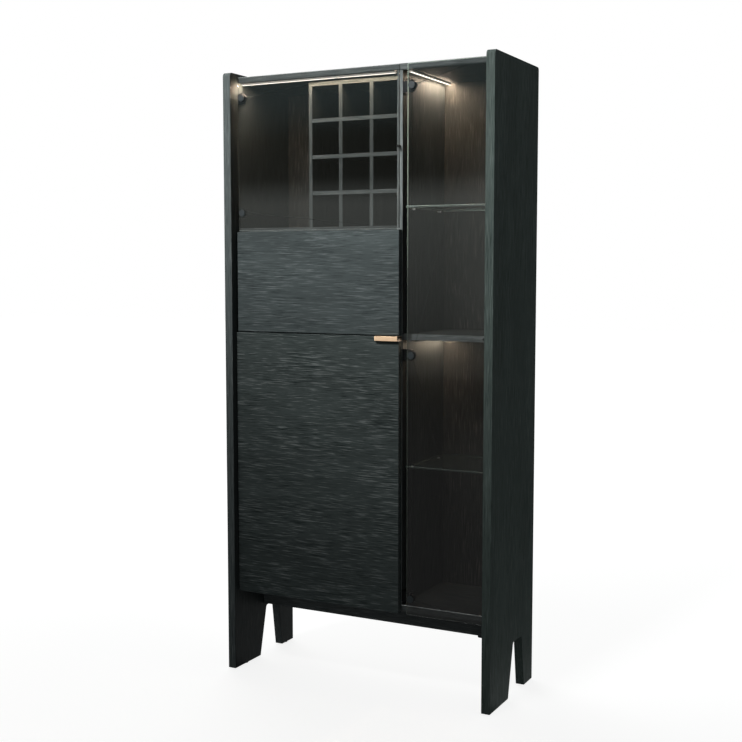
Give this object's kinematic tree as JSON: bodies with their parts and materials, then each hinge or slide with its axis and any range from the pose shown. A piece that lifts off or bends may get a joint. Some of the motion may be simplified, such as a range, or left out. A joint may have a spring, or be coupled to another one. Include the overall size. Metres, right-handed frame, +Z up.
{
  "type": "bar armoire",
  "caption": "Tall black oak bar armoire on panel legs with a lit bottle rack behind smoked glass, a drop-down bar flap, a cupboard and a glass display column.",
  "frame": {"origin": "on the floor below the middle of the cabinet", "axes": "+Z up, the doors face -Y, +X to the right seen from the front"},
  "size_m": [0.874, 0.345, 1.83],
  "materials": {
    "black_oak": "black stained brushed oak, matt lacquer",
    "smoked_glass": "lightly smoked toughened glass",
    "shelf_glass": "clear polished glass",
    "copper": "satin copper plated",
    "hinge_steel": "black nickel",
    "hinge_cap": "black nickel",
    "beech": "fluted beech",
    "zinc_steel": "zinc plated",
    "light_rail": "black anodised",
    "light_cover": "opal cover, lit warm white",
    "light_strip": "flexible circuit",
    "black_plastic": "fine textured"
  },
  "bodies": {
    "carcass": {"left_side_panel": "black_oak", "right_side_panel": "black_oak", "top_panel": "black_oak", "bottom_panel": "black_oak", "center_divider": "black_oak", "back_panel": "black_oak", "bar_deck": "black_oak", "bar_ceiling": "black_oak", "display_shelf": "black_oak", "apron_rail": "black_oak", "cupboard_shelf": "black_oak", "rack_side": "black_oak", "rack_top": "black_oak", "rack_upright_1": "black_oak", "rack_upright_2": "black_oak", "rack_cross_board_1": "black_oak", "rack_cross_board_2": "black_oak", "rack_cross_board_3": "black_oak", "upper_glass_shelf": "shelf_glass", "lower_glass_shelf": "shelf_glass", "upper_door_hinge_arms": "hinge_steel", "upper_door_hinge_pins": "hinge_steel", "display_door_hinge_arms": "hinge_steel", "display_door_hinge_pins": "hinge_steel", "lower_door_hinge_arms": "hinge_steel", "lower_door_hinge_pins": "hinge_steel", "bar_flap_hinge_arms": "hinge_steel", "bar_flap_hinge_pins": "hinge_steel", "carcass_dowels": "beech", "back_panel_screws": "zinc_steel", "glass_shelf_pegs": "zinc_steel", "cupboard_shelf_pegs": "zinc_steel", "bottle_bay_light_rail": "light_rail", "display_top_light_rail": "light_rail", "display_shelf_light_rail": "light_rail", "bottle_bay_light_cover": "light_cover", "display_top_light_cover": "light_cover", "display_shelf_light_cover": "light_cover", "light_strips": "light_strip", "leg_glides": "black_plastic", "side_screw_caps": "black_plastic", "push_latches": "black_plastic", "light_driver": "black_plastic", "driver_inlet": "black_plastic"},
    "upper_door": {"upper_glass_door": "smoked_glass", "upper_door_hinge_cups": "hinge_steel", "upper_door_hinge_caps": "hinge_cap"},
    "display_door": {"display_glass_door": "smoked_glass", "display_door_hinge_cups": "hinge_steel", "display_door_hinge_caps": "hinge_cap"},
    "cupboard_door": {"lower_door": "black_oak", "lower_door_hinge_leaves": "hinge_steel", "pull_handle": "copper"},
    "drop_flap": {"bar_flap": "black_oak", "bar_flap_hinge_leaves": "hinge_steel"}
  },
  "joints": [
    {"name": "upper_door_hinge", "type": "hinge", "parent": "carcass", "child": "upper_door", "pos_m": [-0.3895, -0.1415, 1.59], "axis": [0, 0, -1], "range_deg": [0, 95]},
    {"name": "flap_hinge", "type": "hinge", "parent": "carcass", "child": "drop_flap", "pos_m": [-0.131, -0.1465, 1.062], "axis": [1, 0, 0], "range_deg": [0, 90]},
    {"name": "cupboard_door_hinge", "type": "hinge", "parent": "carcass", "child": "cupboard_door", "pos_m": [-0.401, -0.1465, 0.65], "axis": [0, 0, -1], "range_deg": [0, 95]},
    {"name": "display_door_hinge", "type": "hinge", "parent": "carcass", "child": "display_door", "pos_m": [0.1765, -0.1415, 1], "axis": [0, 0, -1], "range_deg": [0, 90]}
  ]
}
